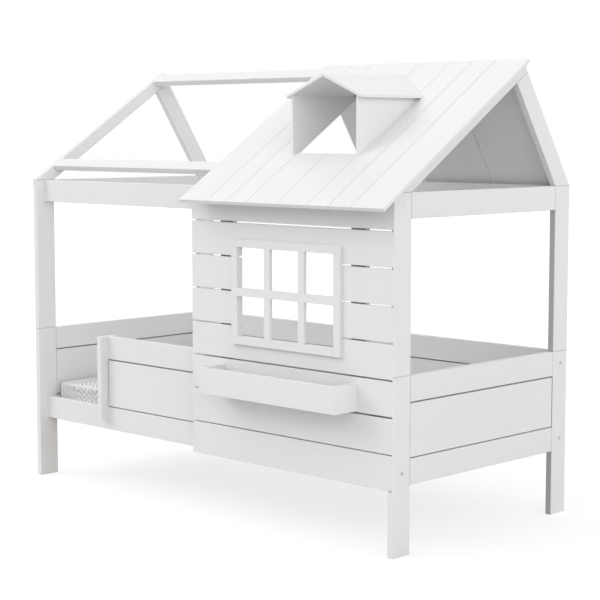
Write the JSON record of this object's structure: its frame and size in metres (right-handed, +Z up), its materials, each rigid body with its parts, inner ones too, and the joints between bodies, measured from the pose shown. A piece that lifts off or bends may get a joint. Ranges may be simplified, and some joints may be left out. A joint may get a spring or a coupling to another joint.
{
  "type": "house frame bed",
  "caption": "Child's single bed in a white house frame: panelled low sides, boarded front with lattice window and flower box, uneven gable roof with a small dormer.",
  "frame": {"origin": "under the middle of the whole outline, on the floor", "axes": "+X along the bed to the boarded end, +Y from the boarded front to the back, +Z up"},
  "size_m": [2.1102, 1.161, 1.7756],
  "materials": {
    "white_wood": "satin white paint over smooth boards",
    "slat_wood": "planed unpainted pine",
    "beech": "fluted beech, unpainted",
    "steel": "zinc plated",
    "mattress_cover": "woven cotton, pale grey with a fine white leaf pattern"
  },
  "bodies": {
    "frame": {"barrel_nuts": "steel", "connector_bolts": "steel", "dormer_cheek_left": "white_wood", "dormer_cheek_right": "white_wood", "dormer_roof_left": "white_wood", "dormer_roof_right": "white_wood", "dowels": "beech", "facade_battens": "white_wood", "facade_board_1": "white_wood", "facade_board_2": "white_wood", "facade_board_3": "white_wood", "facade_board_4": "white_wood", "facade_board_5": "white_wood", "facade_board_6": "white_wood", "facade_board_7": "white_wood", "facade_board_8": "white_wood", "flower_box_back": "white_wood", "flower_box_bottom": "white_wood", "flower_box_front": "white_wood", "flower_box_left_end": "white_wood", "flower_box_right_end": "white_wood", "front_purlin": "white_wood", "front_side_rail": "white_wood", "front_top_beam": "white_wood", "guard_panel": "white_wood", "guard_post": "white_wood", "guard_top_rail": "white_wood", "left_end_bottom_rail": "white_wood", "left_end_panel": "white_wood", "left_end_tie_beam": "white_wood", "left_end_top_rail": "white_wood", "leg_front_left": "white_wood", "leg_front_right": "white_wood", "leg_rear_left": "white_wood", "leg_rear_right": "white_wood", "post_front_left": "white_wood", "post_front_right": "white_wood", "post_rear_left": "white_wood", "post_rear_right": "white_wood", "rafter_front_left": "white_wood", "rafter_front_right": "white_wood", "rafter_rear_left": "white_wood", "rafter_rear_right": "white_wood", "rear_panel": "white_wood", "rear_roof_sill": "white_wood", "rear_side_rail": "white_wood", "rear_top_beam": "white_wood", "rear_top_rail": "white_wood", "ridge_pole": "white_wood", "right_end_bottom_rail": "white_wood", "right_end_panel": "white_wood", "right_end_tie_beam": "white_wood", "right_end_top_rail": "white_wood", "roof_boards_front": "white_wood", "roof_boards_rear": "white_wood", "slat_ledgers": "slat_wood", "slats": "slat_wood", "window_frame": "white_wood", "window_glazing_bars": "white_wood"},
    "mattress": {"mattress": "mattress_cover"}
  },
  "joints": [
    {"name": "mattress_lift", "type": "slide", "parent": "frame", "child": "mattress", "axis": [0, 0, 1], "range_m": [0, 0.35]}
  ]
}
